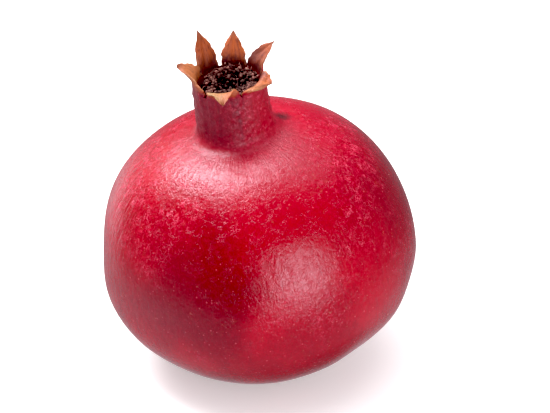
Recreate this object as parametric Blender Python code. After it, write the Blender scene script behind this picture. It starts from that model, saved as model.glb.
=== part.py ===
"""A whole pomegranate as picked, resting on the small flat of its base.

Run with: blender --background --python part.py
Metres, +Z up. The origin is the middle of the flat that the fruit rests on. The rind, the neck of
its calyx and the six calyx lobes grew as one piece, so they are one solid. The dried stamens and
the style inside the neck, and the cut stalk under the fruit, are pieces of their own.
"""

import math

import bmesh
import bpy
from mathutils import Euler, Vector
from mathutils.geometry import interpolate_bezier

MM = 0.001

# The body, about the fruit's own axis. Radii are from that axis, heights from the widest level.
BODY_RADIUS = 47.4 * MM
BASE_DEPTH = 35.0 * MM  # widest level down to the stalk end
SHOULDER_HEIGHT = 45.4 * MM  # widest level up to the shoulder
SHOULDER_FULLNESS = 2.23  # exponent of the outline above the widest level; 2 is an ellipse
SIDES = 6
SIDE_DEPTH = 0.008  # how far the faint sides are flattened, as a share of the radius
SIDE_AZIMUTH = math.radians(284)  # the middle of one flattened side
HEAVY_SIDE = 0.020  # how far the fruit bulges to one side, as a share of the radius
HEAVY_AZIMUTH = math.radians(20)

# The hollow at the stalk end and the stub of stalk cut off in it.
DIMPLE_RADIUS = 7.5 * MM
DIMPLE_FLOOR_RADIUS = 3.2 * MM
DIMPLE_DEPTH = 2.8 * MM
STALK_RADIUS = 2.4 * MM
STALK_LENGTH = 1.5 * MM
STALK_BEVEL = 0.3 * MM

# The calyx: a neck with a cup inside, ending in lobes.
NECK_BASE_RADIUS = 11.6 * MM
NECK_FILLET = 5.0 * MM
RIM_RADIUS = 11.0 * MM
RIM_HEIGHT = 61.0 * MM
RIM_WALL = 1.5 * MM
CUP_DEPTH = 11.0 * MM
CUP_FLOOR_RADIUS = 5.0 * MM
GROOVE_DEPTH = 0.35 * MM  # the crease that runs down the neck from between two lobes
GROOVE_WIDTH = math.radians(7)
LOBE_TIP_THICKNESS = 0.6 * MM
LOBE_FULLNESS = 1.6  # how long a lobe keeps its width; 1 is a straight-sided triangle
LOBE_STEPS = 8

COLUMNS = 60  # round the fruit, so one column is 6 degrees
FIRST_NOTCH = math.radians(5)
# Round the rim from the first notch: columns wide, length, lean at the foot, lean at the tip,
# how late the bend comes (1 is even) and how far the tip is drawn sideways, in half widths.
LOBES = (
    (9, 9.9 * MM, math.radians(25), math.radians(66), 1.0, -0.1),
    (8, 9.9 * MM, math.radians(10), math.radians(36), 1.0, -0.05),
    (7, 13.9 * MM, math.radians(0), math.radians(2), 1.0, 0.3),
    (13, 8.6 * MM, math.radians(4), math.radians(88), 1.4, -0.4),
    (11, 7.1 * MM, math.radians(20), math.radians(140), 1.0, 0.2),
    (12, 3.8 * MM, math.radians(45), math.radians(140), 1.0, 0.5),
)

# The stamens, rooted on the wall and floor of the cup. Each ring gives its name, how many, and the
# root, its handle, the anther's handle and the anther's foot as (radius, depth below the rim).
FILAMENT_RADIUS = 0.28 * MM
ANTHER_RADIUS = 0.62 * MM
ANTHER_LENGTH = 1.3 * MM
STAMEN_RINGS = (
    ("outer", 20, ((7.7, 4.6), (7.7, 2.8), (7.3, 1.6), (6.8, 0.9))),
    ("middle", 15, ((7.0, 7.8), (6.6, 5.4), (5.4, 3.8), (4.6, 1.8))),
    ("inner", 9, ((4.3, 10.6), (4.2, 7.6), (3.4, 5.4), (2.6, 2.8))),
)
STYLE_RADIUS = 0.55 * MM
STIGMA_RADIUS = 1.0 * MM
STYLE_HEIGHT = 7.6 * MM

# How it rests: the fruit leans and its base is pressed flat where it stands.
LEAN_LEFT = math.radians(7.3)
LEAN_FORWARD = math.radians(7)
FLAT_DEPTH = 0.9 * MM
GAP = 0.3 * MM  # between pieces that touch

DRY = 1  # the fruit's second material, after the rind


def smooth_step(value):
    """0 below 0, 1 above 1, and a smooth rise between."""
    value = min(max(value, 0.0), 1.0)
    return value * value * (3 - 2 * value)


def material(name, colour, roughness):
    """A Principled BSDF in one colour."""
    made = bpy.data.materials.new(name)
    made.use_nodes = True
    surface = made.node_tree.nodes["Principled BSDF"]
    surface.inputs["Base Color"].default_value = (*colour, 1)
    surface.inputs["Roughness"].default_value = roughness
    surface.inputs["Metallic"].default_value = 0
    made.diffuse_color = (*colour, 1)
    return made


def add_object(name, data, parent, materials):
    """Links a new object under the empty that stands for the fruit's axis."""
    made = bpy.data.objects.new(name, data)
    bpy.context.collection.objects.link(made)
    made.parent = parent
    if not data.materials:
        for each in materials:
            data.materials.append(each)
    return made


def fruit_lean():
    """The rotation from the fruit's own axis to how it stands."""
    return Euler((LEAN_FORWARD, -LEAN_LEFT, 0)).to_matrix()


def resting_plane():
    """The flat's middle and its outward normal, about the fruit's own axis.

    The lower half of the body is half an ellipsoid, and the point of an ellipsoid that lies
    furthest along a direction has a closed form.
    """
    down = fruit_lean().transposed() @ Vector((0, 0, -1))
    squares = Vector((BODY_RADIUS**2, BODY_RADIUS**2, BASE_DEPTH**2))
    lowest = squares * down / math.sqrt((squares * down).dot(down))
    return lowest - FLAT_DEPTH * down, down


def base_outline():
    """The outside from the stalk end up to the widest level, with the stalk's hollow."""
    radii = [0, 1.8 * MM, DIMPLE_FLOOR_RADIUS, 4.3 * MM, 5.4 * MM, 6.5 * MM, DIMPLE_RADIUS]
    angles = [math.radians(a) for a in (14, 20, 27, 34, 42, 50, 58, 66, 74, 82, 90)]
    radii += [BODY_RADIUS * math.sin(a) for a in angles]
    points = []
    for radius in radii:
        height = -BASE_DEPTH * math.sqrt(max(0.0, 1 - (radius / BODY_RADIUS) ** 2))
        outwards = (radius - DIMPLE_FLOOR_RADIUS) / (DIMPLE_RADIUS - DIMPLE_FLOOR_RADIUS)
        points.append((radius, height + DIMPLE_DEPTH * (1 - smooth_step(outwards))))
    return points


def shoulder_height(radius):
    share = 1 - (radius / BODY_RADIUS) ** SHOULDER_FULLNESS
    return SHOULDER_HEIGHT * share ** (1 / SHOULDER_FULLNESS)


def shoulder_outline():
    """The outside from above the widest level to the outer edge of the calyx rim."""
    angles = [math.radians(a) for a in (8, 16, 24, 32, 40, 48, 55, 62, 68)]
    points = []
    for angle in angles:
        radius = BODY_RADIUS * math.cos(angle) ** (2 / SHOULDER_FULLNESS)
        points.append((radius, shoulder_height(radius)))
    fillet_start = NECK_BASE_RADIUS + NECK_FILLET
    corner = shoulder_height(NECK_BASE_RADIUS)
    fillet = interpolate_bezier(
        (fillet_start, shoulder_height(fillet_start)),
        (NECK_BASE_RADIUS + NECK_FILLET / 2, corner),
        (NECK_BASE_RADIUS, corner + NECK_FILLET / 4),
        (NECK_BASE_RADIUS, corner + NECK_FILLET),
        6,
    )
    points += [tuple(point) for point in fillet]
    neck_foot = corner + NECK_FILLET
    for share in (0.35, 0.7, 1.0):
        radius = NECK_BASE_RADIUS + share * (RIM_RADIUS - NECK_BASE_RADIUS)
        points.append((radius, neck_foot + share * (RIM_HEIGHT - neck_foot)))
    return points


def cup_outline():
    """The inside of the calyx from the rim's inner edge down to the middle of the cup's floor."""
    rim = RIM_RADIUS - RIM_WALL
    floor = RIM_HEIGHT - CUP_DEPTH
    wall = interpolate_bezier(
        (rim, RIM_HEIGHT),
        (rim - 1.0 * MM, RIM_HEIGHT - 0.5 * CUP_DEPTH),
        (rim - 1.4 * MM, floor),
        (CUP_FLOOR_RADIUS, floor),
        7,
    )
    return [tuple(point) for point in wall] + [(0, floor)]


def swell(azimuth, height):
    """What the body's radius is multiplied by, for its faint flat sides and its heavier side."""
    depth = height / (SHOULDER_HEIGHT if height > 0 else BASE_DEPTH)
    fade = max(0.0, 1 - depth * depth)
    sides = SIDE_DEPTH * math.cos(SIDES * (azimuth - SIDE_AZIMUTH))
    heavy = HEAVY_SIDE * math.cos(azimuth - HEAVY_AZIMUTH)
    return 1 + fade * (heavy - sides)


def notch_azimuths():
    """The azimuth of each notch between two lobes, from the first one round to it again."""
    notches = [FIRST_NOTCH]
    for lobe in LOBES:
        notches.append(notches[-1] + lobe[0] * math.tau / COLUMNS)
    return notches


def groove(azimuth):
    """How deep the neck's creases are at an azimuth."""
    depth = 0
    for notch in notch_azimuths()[:-1]:
        away = math.remainder(azimuth - notch, math.tau) / GROOVE_WIDTH
        depth += GROOVE_DEPTH * math.exp(-away * away)
    return depth


def shape_fruit(mesh):
    """Turns the spun body into a grown one: flat sides, a heavier side and creases on the neck."""
    neck_foot = shoulder_height(NECK_BASE_RADIUS)
    wall_middle = RIM_RADIUS - RIM_WALL / 2
    for vert in mesh.verts:
        radius = math.hypot(vert.co.x, vert.co.y)
        if radius < GAP:
            continue
        azimuth = math.atan2(vert.co.y, vert.co.x)
        if vert.co.z < neck_foot:
            scale = swell(azimuth, vert.co.z)
        elif radius > wall_middle:
            rise = (vert.co.z - neck_foot) / NECK_FILLET
            scale = 1 - groove(azimuth) * smooth_step(rise) / radius
        else:
            continue
        vert.co.x *= scale
        vert.co.y *= scale


def lobe_point(lobe, middle, half_span, across, along, inner):
    """A point of a calyx lobe.

    across runs from -1 to 1 and along from 0 at the rim to 1 at the tip. The middle line leaves
    the rim at the foot's lean and bends outwards to the tip's. The width is an arc of the rim's
    own circle that shrinks to nothing, bowed inwards as the neck is.
    """
    _, length, foot_lean, tip_lean, lateness, drawn = lobe
    steps = 24
    radius, height = RIM_RADIUS, RIM_HEIGHT
    for step in range(steps):
        part = along * (step + 0.5) / steps
        lean = foot_lean + (tip_lean - foot_lean) * part**lateness
        radius += math.sin(lean) * length * along / steps
        height += math.cos(lean) * length * along / steps
    lean = foot_lean * smooth_step(3 * along) + (tip_lean - foot_lean) * along**lateness
    arc = half_span * across * (1 - along**LOBE_FULLNESS)
    arc += half_span * drawn * along * along
    thickness = RIM_WALL + (LOBE_TIP_THICKNESS - RIM_WALL) * smooth_step(1.6 * along)
    inwards = RIM_RADIUS * (1 - math.cos(arc)) + (thickness if inner else 0)
    sideways = (RIM_RADIUS - (thickness if inner else 0)) * math.sin(arc)
    if inner:
        inwards -= thickness * (1 - math.cos(arc))
    out = radius - inwards * math.cos(lean)
    up = height + inwards * math.sin(lean)
    return Vector(
        (
            out * math.cos(middle) - sideways * math.sin(middle),
            out * math.sin(middle) + sideways * math.cos(middle),
            up,
        )
    )


def azimuth_from(middle, place):
    """How far round from an azimuth a place is, between half a turn back and half a turn on."""
    return math.remainder(math.atan2(place.y, place.x) - middle, math.tau)


def rim_faces(mesh, middle, half_span):
    """The flat rim's faces within half_span of an azimuth."""
    chosen = []
    for face in mesh.faces:
        flat = all(abs(vert.co.z - RIM_HEIGHT) < GAP for vert in face.verts)
        if flat and abs(azimuth_from(middle, face.calc_center_median())) < half_span:
            chosen.append(face)
    return chosen


def grow_lobes(mesh):
    """Extrudes the flat rim into the lobes, one stretch of rim for each, and closes their tips."""
    across_layer = mesh.verts.layers.float.new("across")
    inner_layer = mesh.verts.layers.float.new("inner")
    notches = notch_azimuths()
    for lobe, start, end in zip(LOBES, notches, notches[1:]):
        middle, half_span = (start + end) / 2, (end - start) / 2
        faces = rim_faces(mesh, middle, half_span)
        for vert in {v for f in faces for v in f.verts}:
            vert[across_layer] = azimuth_from(middle, vert.co) / half_span
            vert[inner_layer] = math.hypot(vert.co.x, vert.co.y) < RIM_RADIUS - RIM_WALL / 2
        for step in range(1, LOBE_STEPS + 1):
            # Even steps would leave the tip coarse, so they shorten towards it.
            along = 1 - (1 - step / LOBE_STEPS) ** 1.25
            grown = bmesh.ops.extrude_face_region(mesh, geom=faces)["geom"]
            bmesh.ops.delete(mesh, geom=faces, context="FACES_ONLY")
            for vert in (part for part in grown if isinstance(part, bmesh.types.BMVert)):
                across, inner = vert[across_layer], vert[inner_layer] > 0.5
                vert.co = lobe_point(lobe, middle, half_span, across, along, inner)
                for face in vert.link_faces:
                    face.material_index = DRY
            faces = [part for part in grown if isinstance(part, bmesh.types.BMFace)]
        tip = list({v for f in faces for v in f.verts})
        bmesh.ops.remove_doubles(mesh, verts=tip, dist=LOBE_TIP_THICKNESS / 10)


def colour_cup(mesh):
    """The inside of the calyx is dry like its lobes."""
    for face in mesh.faces:
        spot = face.calc_center_median()
        if spot.z > 0 and math.hypot(spot.x, spot.y) < RIM_RADIUS - RIM_WALL / 2:
            face.material_index = DRY


def press_flat(mesh):
    """Cuts off the base below the plane that the fruit rests on, and closes the cut."""
    middle, down = resting_plane()
    everything = mesh.verts[:] + mesh.edges[:] + mesh.faces[:]
    bmesh.ops.bisect_plane(mesh, geom=everything, plane_co=middle, plane_no=down, clear_outer=True)
    open_edges = [edge for edge in mesh.edges if edge.is_boundary]
    bmesh.ops.contextual_create(mesh, geom=open_edges)


def make_fruit(parent, rind, dry):
    outline = base_outline() + shoulder_outline() + cup_outline()
    mesh = bmesh.new()
    verts = [mesh.verts.new((radius, 0, height)) for radius, height in outline]
    edges = [mesh.edges.new(pair) for pair in zip(verts, verts[1:])]
    bmesh.ops.rotate(mesh, verts=verts, matrix=Euler((0, 0, FIRST_NOTCH)).to_matrix())
    bmesh.ops.spin(
        mesh,
        geom=verts + edges,
        axis=(0, 0, 1),
        cent=(0, 0, 0),
        angle=math.tau,
        steps=COLUMNS,
        use_merge=True,
    )
    bmesh.ops.remove_doubles(mesh, verts=mesh.verts, dist=GAP / 100)
    grow_lobes(mesh)
    shape_fruit(mesh)
    colour_cup(mesh)
    press_flat(mesh)
    bmesh.ops.recalc_face_normals(mesh, faces=mesh.faces)
    data = bpy.data.meshes.new("fruit")
    mesh.to_mesh(data)
    mesh.free()
    data.shade_smooth()
    data.set_sharp_from_angle(angle=math.radians(50))
    return add_object("fruit", data, parent, (rind, dry))


def tapered_rod(name, path, radii):
    """A curve through a path's points whose round section has its own radius at each."""
    curve = bpy.data.curves.new(name, "CURVE")
    curve.dimensions = "3D"
    curve.bevel_depth = 1.0
    curve.bevel_resolution = 1
    curve.use_fill_caps = True
    spline = curve.splines.new("POLY")
    spline.points.add(len(path) - 1)
    for point, place, radius in zip(spline.points, path, radii):
        point.co = (*place, 1)
        point.radius = radius
    return curve


def stamen_curve(name, handles):
    """A dried stamen in the plane of azimuth 0: a thin filament that swells into its anther."""
    corners = [Vector((radius * MM, 0, RIM_HEIGHT - depth * MM)) for radius, depth in handles]
    path = interpolate_bezier(*corners, 6)
    along = (path[-1] - path[-2]).normalized()
    radii = [FILAMENT_RADIUS] * len(path)
    for share, width in ((0.25, 0.85), (0.6, 1.0), (1.0, 0.55)):
        path.append(corners[-1] + along * ANTHER_LENGTH * share)
        radii.append(ANTHER_RADIUS * width)
    return tapered_rod(name, path, radii)


def make_stamens(parent, dried):
    for ring, count, handles in STAMEN_RINGS:
        curve = stamen_curve(f"stamen_{ring}", handles)
        for number in range(count):
            stamen = add_object(f"stamen_{ring}_{number + 1:02d}", curve, parent, (dried,))
            stamen.rotation_euler.z = (number + 0.5) * math.tau / count


def make_style(parent, dried):
    foot = RIM_HEIGHT - CUP_DEPTH + GAP
    shape = ((0, 1.4), (0.15, 1.0), (0.8, 1.0), (0.86, STIGMA_RADIUS / STYLE_RADIUS), (1, 1.2))
    path = [Vector((0, 0, foot + STYLE_HEIGHT * share)) for share, _ in shape]
    curve = tapered_rod("style", path, [STYLE_RADIUS * width for _, width in shape])
    curve.bevel_resolution = 2
    add_object("style", curve, parent, (dried,))


def make_stalk(parent, wood):
    floor = DIMPLE_DEPTH - BASE_DEPTH
    mesh = bmesh.new()
    bmesh.ops.create_cone(
        mesh,
        cap_ends=True,
        segments=20,
        radius1=STALK_RADIUS * 0.93,
        radius2=STALK_RADIUS,
        depth=STALK_LENGTH,
    )
    data = bpy.data.meshes.new("stalk_stub")
    mesh.to_mesh(data)
    mesh.free()
    data.shade_smooth()
    data.set_sharp_from_angle(angle=math.radians(40))
    stalk = add_object("stalk_stub", data, parent, (wood,))
    stalk.location.z = floor - GAP - STALK_LENGTH / 2
    bevel = stalk.modifiers.new("cut edge", "BEVEL")
    bevel.width = STALK_BEVEL
    bevel.segments = 2


def main():
    for leftover in list(bpy.data.objects):
        bpy.data.objects.remove(leftover, do_unlink=True)
    rind = material("rind", (0.48, 0.008, 0.028), 0.38)
    dry = material("dry calyx", (0.52, 0.18, 0.06), 0.7)
    dried = material("dried stamens", (0.13, 0.05, 0.035), 0.8)
    wood = material("stalk wood", (0.25, 0.15, 0.08), 0.85)
    axis = bpy.data.objects.new("fruit_axis", None)
    bpy.context.collection.objects.link(axis)
    axis.rotation_euler = fruit_lean().to_euler()
    axis.location = -(fruit_lean() @ resting_plane()[0])
    make_fruit(axis, rind, dry)
    make_stamens(axis, dried)
    make_style(axis, dried)
    make_stalk(axis, wood)


main()
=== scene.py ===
import math

import bmesh
import bpy
import numpy as np
from mathutils import Euler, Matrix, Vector


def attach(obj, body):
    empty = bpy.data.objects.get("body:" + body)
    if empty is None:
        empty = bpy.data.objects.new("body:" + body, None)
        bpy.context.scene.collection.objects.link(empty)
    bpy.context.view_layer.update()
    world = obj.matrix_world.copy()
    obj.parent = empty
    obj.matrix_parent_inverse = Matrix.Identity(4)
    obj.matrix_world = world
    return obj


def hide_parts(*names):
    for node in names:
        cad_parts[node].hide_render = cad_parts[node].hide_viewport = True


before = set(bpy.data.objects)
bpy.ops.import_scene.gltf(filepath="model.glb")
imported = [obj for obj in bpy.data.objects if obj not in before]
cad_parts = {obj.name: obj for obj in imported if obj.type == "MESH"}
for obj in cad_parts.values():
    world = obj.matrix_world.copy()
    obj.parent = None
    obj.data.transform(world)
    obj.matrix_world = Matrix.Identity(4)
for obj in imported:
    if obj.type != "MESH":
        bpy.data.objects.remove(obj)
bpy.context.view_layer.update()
print("frame loaded,", len(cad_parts), "CAD nodes")

mm = 0.001
turn = 2 * math.pi


# small maths, all on whole arrays


def smooth(x):
    # 0 below 0, 1 above 1, three x squared less two x cubed between
    x = np.clip(x, 0, 1)
    return x * x * (3 - 2 * x)


def bump(x, width):
    # the bell curve e to the minus (x over width) squared
    return np.exp(-(x / width) ** 2)


def away(azimuth, middle):
    # the angle from middle round to azimuth, between minus and plus half a turn
    return (azimuth - middle + math.pi) % turn - math.pi


def bezier(a, b, c, d, t):
    # the cubic through a and d that b and c pull on
    a, b, c, d = (np.array(p, float)[None] for p in (a, b, c, d))
    t = t[:, None]
    return (1 - t) ** 3 * a + 3 * (1 - t) ** 2 * t * b + 3 * (1 - t) * t * t * c + t ** 3 * d


def ripple(u, v, seed, count, fastest):
    # count cosine waves of u and v added up, whole numbers of waves round u so that it closes,
    # each with a random phase, and scaled to stay within about plus and minus 1
    rng = np.random.default_rng(seed)
    total = 0
    for _ in range(count):
        m = rng.integers(1, fastest + 1)
        n = rng.uniform(-fastest, fastest)
        total = total + np.cos(m * u + n * v + rng.uniform(0, turn))
    return total / math.sqrt(count) / 1.5


# putting grids of points into a mesh


def gridFaces(rows, columns, closed, start):
    # quads between neighbouring rows and columns of a grid whose first vertex is start
    below = np.arange(rows - 1)[:, None] * columns + start
    above = below + columns
    column = np.arange(columns if closed else columns - 1)[None, :]
    following = (column + 1) % columns
    return np.stack([below + column, below + following, above + following, above + column], -1).reshape(-1, 4)


def makePiece(name, grids, material, standsFor, weld=0.002):
    # grids is a list of (points, closed, attributes): points has the shape (rows, columns, 3) in mm;
    # points nearer than weld, in mm, become one, which closes the seams and poles
    points, faces, values = [], [], {}
    start = 0
    for place, closed, attributes in grids:
        rows, columns = place.shape[:2]
        faces.append(gridFaces(rows, columns, closed, start))
        points.append(place.reshape(-1, 3))
        for key, value in attributes.items():
            values.setdefault(key, []).append(np.broadcast_to(value, (rows, columns, 3)).reshape(-1, 3))
        start += rows * columns
    mesh = bpy.data.meshes.new(name)
    mesh.from_pydata(np.concatenate(points) * mm, [], np.concatenate(faces))
    for key, value in values.items():
        layer = mesh.attributes.new(key, "FLOAT_VECTOR", "POINT")
        layer.data.foreach_set("vector", np.concatenate(value).astype(np.float32).ravel())
    work = bmesh.new()
    work.from_mesh(mesh)
    bmesh.ops.remove_doubles(work, verts=work.verts, dist=weld * mm)
    bmesh.ops.recalc_face_normals(work, faces=work.faces)
    work.to_mesh(mesh)
    work.free()
    mesh.shade_smooth()
    mesh.materials.append(material)
    piece = bpy.data.objects.new(name, mesh)
    bpy.context.collection.objects.link(piece)
    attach(piece, "root")
    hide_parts(*standsFor)
    print(name, "made,", len(mesh.polygons), "faces")


# shader expressions


class Wire:
    # a socket in an expression; + - * / ** and abs() on it add their Math nodes
    def __init__(self, finish, socket):
        self.finish = finish
        self.socket = socket

    def __add__(self, other):
        return self.finish.math("ADD", self, other)

    def __sub__(self, other):
        return self.finish.math("SUBTRACT", self, other)

    def __rsub__(self, other):
        return self.finish.math("SUBTRACT", other, self)

    def __mul__(self, other):
        return self.finish.math("MULTIPLY", self, other)

    def __truediv__(self, other):
        return self.finish.math("DIVIDE", self, other)

    def __pow__(self, other):
        return self.finish.math("POWER", self, other)

    def __abs__(self):
        return self.finish.math("ABSOLUTE", self)

    __radd__ = __add__
    __rmul__ = __mul__


class Finish:
    # the nodes of one material, or of the world
    def __init__(self, owner):
        owner.use_nodes = True
        self.owner = owner
        self.tree = owner.node_tree
        self.tree.nodes.clear()

    def node(self, kind, settings=None, inputs=None, output=0):
        # settings first, because some change which sockets there are; then each socket's value or link
        made = self.tree.nodes.new(kind)
        for key, value in (settings or {}).items():
            setattr(made, key, value)
        for key, value in (inputs or {}).items():
            if isinstance(value, Wire):
                self.tree.links.new(value.socket, made.inputs[key])
            else:
                made.inputs[key].default_value = value
        return Wire(self, made.outputs[output]) if made.outputs else made

    def math(self, operation, first, second=0.0):
        return self.node("ShaderNodeMath", {"operation": operation}, {0: first, 1: second})

    def attribute(self, name):
        return self.node("ShaderNodeAttribute", {"attribute_name": name}, None, "Vector")

    def parts(self, vector):
        split = self.node("ShaderNodeSeparateXYZ", None, {0: vector}).socket.node
        return [Wire(self, split.outputs[i]) for i in range(3)]

    def scaled(self, vector, by):
        return self.node("ShaderNodeVectorMath", {"operation": "MULTIPLY"}, {0: vector, 1: by})

    def distance(self, vector, middle):
        return self.node("ShaderNodeVectorMath", {"operation": "DISTANCE"}, {0: vector, 1: middle}, "Value")

    def noise(self, place, scale, detail=2.0, roughness=0.5, distortion=0.0):
        sockets = {"Vector": place, "Scale": scale, "Detail": detail, "Roughness": roughness,
                   "Distortion": distortion}
        return self.node("ShaderNodeTexNoise", None, sockets)

    def cells(self, place, scale, output="Distance"):
        return self.node("ShaderNodeTexVoronoi", None, {"Vector": place, "Scale": scale}, output)

    def between(self, value, low, high, start=0.0, end=1.0):
        # goes smoothly from start to end as value goes from low to high
        sockets = {"Value": value, "From Min": low, "From Max": high, "To Min": start, "To Max": end}
        return self.node("ShaderNodeMapRange", {"interpolation_type": "SMOOTHSTEP"}, sockets)

    def mix(self, first, second, factor):
        # the Mix node's sockets 6 and 7 and its output 2 are the ones for colours
        first, second = (value if isinstance(value, Wire) else (*value, 1) for value in (first, second))
        return self.node("ShaderNodeMix", {"data_type": "RGBA"}, {"Factor": factor, 6: first, 7: second}, 2)

    def done(self, colour, roughness, height, fixed):
        # height is in millimetres and goes through a Bump node; fixed are the shader's plain values
        normal = self.node("ShaderNodeBump", None, {"Strength": 1.0, "Distance": mm, "Height": height})
        sockets = {"Base Color": colour, "Roughness": roughness, "Normal": normal, **fixed}
        shader = self.node("ShaderNodeBsdfPrincipled", None, sockets)
        self.node("ShaderNodeOutputMaterial", None, {"Surface": shader})
        return self.owner


# the fruit's shape

fruit = {
    "radius": 47.4,
    "baseDepth": 35.0,  # widest level down to the stalk end
    "shoulder": 45.4,  # widest level up to the shoulder
    "fullness": 2.23,  # exponent of the shoulder's outline, 2 is an ellipse
    "heavySide": 0.020,  # share of the radius that one side bulges by
    "heavyAzimuth": 20,
    "ridges": (263, 304, 350, 45, 100, 160, 212),  # azimuths, the skin is flatter between them
    "ridgeHeight": 0.55,
    "ridgeWidth": 13,
    "lumps": 0.30,
    "lumpHeight": 22,
    # low swellings and hollows: azimuth, height, outwards, width in degrees, reach up and down
    "swellings": ((162, 24, 0.75, 32, 16), (190, -1, 1.2, 22, 9), (225, -18, -0.35, 14, 8),
                  (278, -25, 0.5, 14, 8), (312, -20, -0.75, 10, 8), (334, -15, 0.45, 8, 7),
                  (348, -8, -0.4, 8, 7)),
    "leanLeft": 7.3,
    "leanForward": 7.0,
    "flat": 0.9,  # how deep the base is pressed flat
    "hollowRadius": 7.5,
    "hollowFloor": 3.2,
    "hollowDepth": 2.8,
    "outlineSteps": 400,
    "bodyRows": 104,
    "columns": 360,
}

neck = {
    "baseRadius": 11.4,
    "fillet": 2.7,
    "rimRadius": 10.75,
    "rimHeight": 61.0,
    "wall": 1.5,
    "creaseDepth": 0.45,
    "creaseWidth": 6,  # degrees
    "pleats": 0.17,
    "pleatHeight": 9,
    "pucker": 0.14,
    "puckerHeight": 16,
    "puckerReach": 3.5,  # puckers stay this near to the neck's foot
    "notchDrop": 0.22,
    "notchWidth": 7,  # degrees
    "notchReach": 5,
    "settle": 4,  # above the rim, the neck's unevenness dies away over this height
    "sideways": -0.55,  # how far the rim is set over to the left
    "sidewaysFrom": -6,  # where that shift starts, from the neck's corner, and over what height it grows
    "sidewaysReach": 9,
    "belowCorner": 9,  # how far under its corner the neck's unevenness may reach
    "rows": 26,
    "cupDepth": 11.0,
    "cupFloor": 5.0,
    "cupTaper": (1.0, 1.4),  # how much narrower than the rim the cup is half way down and near its floor
    "cupRows": 16,
    # the cup's nearly black colour is painted shade
    "rimShade": 0.4,  # how much of the cup's dark its edge has
}

# The lobes round the rim, anticlockwise seen from above. start and span are in degrees, length in mm.
# The lean goes from foot to tip, in degrees from upright, late bends it later, drawn pulls the tip
# round, full keeps the lobe wide for longer, belly widens its middle, bow is how curved its section
# stays, curl lifts the edges, wave ripples them, pale bleaches it and below 0 darkens it, and the side
# setting puts that towards one edge; on the front lobes that is the lit edge, so part of their
# paleness there is painted light.
crown = {
    "rows": 40,
    "tipCrowding": 1.15,  # over 1 brings the rows closer together towards the tip
    "leanSteps": 500,
    "ragged": 0.05,  # shares of a lobe's width
    "raggedFine": 0.03,
    "midrib": 0.25,
    "midribWidth": 0.22,
    "folds": 0.12,
    "tipThickness": 0.35,
    "edgeThinning": 0.5,
    "tipThinning": 0.7,
    "lobes": (
        # back right
        {"start": 4, "span": 50, "length": 9.9, "foot": 25, "tip": 66, "late": 1.0, "drawn": -0.10,
         "full": 1.8, "belly": 0.0, "bow": 0.9, "curl": -0.4, "wave": 0.3, "pale": -0.8, "paleLitSide": 0.5},
        # back middle
        {"start": 57, "span": 45, "length": 10.0, "foot": 10, "tip": 36, "late": 1.0, "drawn": -0.05,
         "full": 1.9, "belly": 0.04, "bow": 0.8, "curl": -0.2, "wave": 0.2, "pale": 0.0, "paleLitSide": 0},
        # back left
        {"start": 108, "span": 40, "length": 14.2, "foot": 0, "tip": 2, "late": 1.0, "drawn": 0.40,
         "full": 2.0, "belly": 0.10, "bow": 0.9, "curl": 0.2, "wave": 0.3, "pale": 0.0, "paleLitSide": 0},
        # left
        {"start": 151, "span": 74, "length": 7.8, "foot": 2, "tip": 88, "late": 1.5, "drawn": -0.45,
         "full": 1.9, "belly": 0.15, "bow": 0.9, "curl": -0.3, "wave": 0.4, "pale": 0.30, "paleLitSide": 0},
        # front
        {"start": 231, "span": 60, "length": 7.6, "foot": 8, "tip": 152, "late": 1.0, "drawn": 0.22,
         "full": 1.4, "belly": 0.0, "bow": 0.6, "curl": -0.3, "wave": 0.5, "pale": 1.0, "paleLitSide": -0.8},
        # front right
        {"start": 293, "span": 70, "length": 3.4, "foot": 60, "tip": 150, "late": 1.0, "drawn": 0.55,
         "full": 1.5, "belly": 0.1, "bow": 0.7, "curl": 0.3, "wave": 0.3, "pale": 0.45, "paleLitSide": -1.6},
    ),
}


def notches():
    # the middle of the gap before each lobe
    lobes = crown["lobes"]
    ends = [lobe["start"] + lobe["span"] for lobe in lobes]
    gaps = [(lobe["start"] - end) % 360 / 2 for lobe, end in zip(lobes, [ends[-1]] + ends)]
    return [math.radians(lobe["start"] - gap) for lobe, gap in zip(lobes, gaps)]


def shoulderHeight(radius):
    # the superellipse of the shoulder's outline: its height over the widest level, at a radius
    share = 1 - (radius / fruit["radius"]) ** fruit["fullness"]
    return fruit["shoulder"] * share ** (1 / fruit["fullness"])


neckCorner = shoulderHeight(neck["baseRadius"])
tilt = Euler((math.radians(fruit["leanForward"]), -math.radians(fruit["leanLeft"]), 0))
leanMatrix = np.array(tilt.to_matrix())


def restingPoint():
    # the point of the base's ellipsoid that lies lowest once the fruit leans, less the pressed depth
    down = leanMatrix.T @ np.array((0, 0, -1))
    squares = np.array((fruit["radius"], fruit["radius"], fruit["baseDepth"])) ** 2
    return squares * down / math.sqrt((squares * down) @ down) - fruit["flat"] * down


def setDown(points):
    # from the fruit's own axis to how it lies
    return (points - restingPoint()) @ leanMatrix.T


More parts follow.
